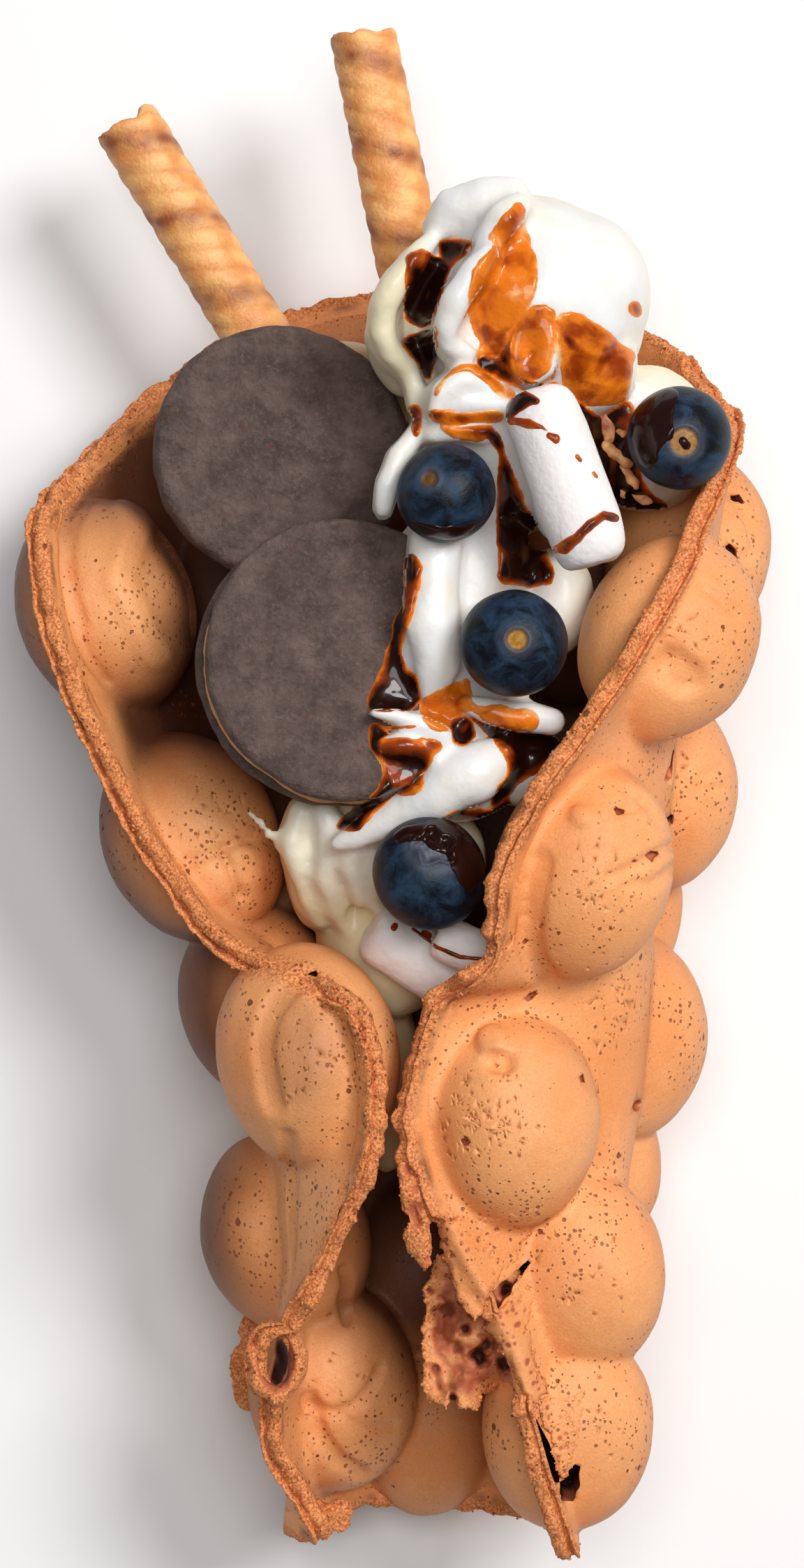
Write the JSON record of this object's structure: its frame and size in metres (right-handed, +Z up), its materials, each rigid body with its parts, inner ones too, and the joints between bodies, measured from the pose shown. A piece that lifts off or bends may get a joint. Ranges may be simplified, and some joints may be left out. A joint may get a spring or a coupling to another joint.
{
  "type": "filled bubble waffle",
  "caption": "Bubble waffle rolled into an open cone and filled with whipped cream, dark biscuits, blueberries, marshmallows and rolled wafer sticks under chocolate sauce, lying on its back.",
  "frame": {"origin": "middle of the bounding box, on the surface that the waffle lies on", "axes": "+Z up from the surface, +Y along the waffle from its tip to its open mouth, +X to the right of someone who looks down with the mouth away from them"},
  "size_m": [0.1259, 0.2535, 0.0887],
  "materials": {
    "waffle": "baked batter, orange tan, fine pores, matt with a faint greasy sheen",
    "cream": "whipped cream, soft white, with glossy dark brown sauce over it",
    "biscuit": "dark cocoa biscuit, matt, finely cracked",
    "filling": "tan biscuit filling, matt",
    "blueberry": "dark blue skin with a pale bloom, half gloss",
    "marshmallow": "soft white, matt, powdery",
    "wafer_stick": "golden rolled wafer with brown bands, matt"
  },
  "bodies": {
    "root": {"waffle": "waffle", "cream": "cream", "biscuit_1": "biscuit", "biscuit_2_base": "biscuit", "biscuit_2_filling": "filling", "biscuit_2_top": "biscuit", "blueberry_1": "blueberry", "blueberry_2": "blueberry", "blueberry_3": "blueberry", "blueberry_4": "blueberry", "marshmallow_1": "marshmallow", "marshmallow_2": "marshmallow", "marshmallow_3": "marshmallow", "wafer_stick_1": "wafer_stick", "wafer_stick_2": "wafer_stick"}
  },
  "joints": []
}
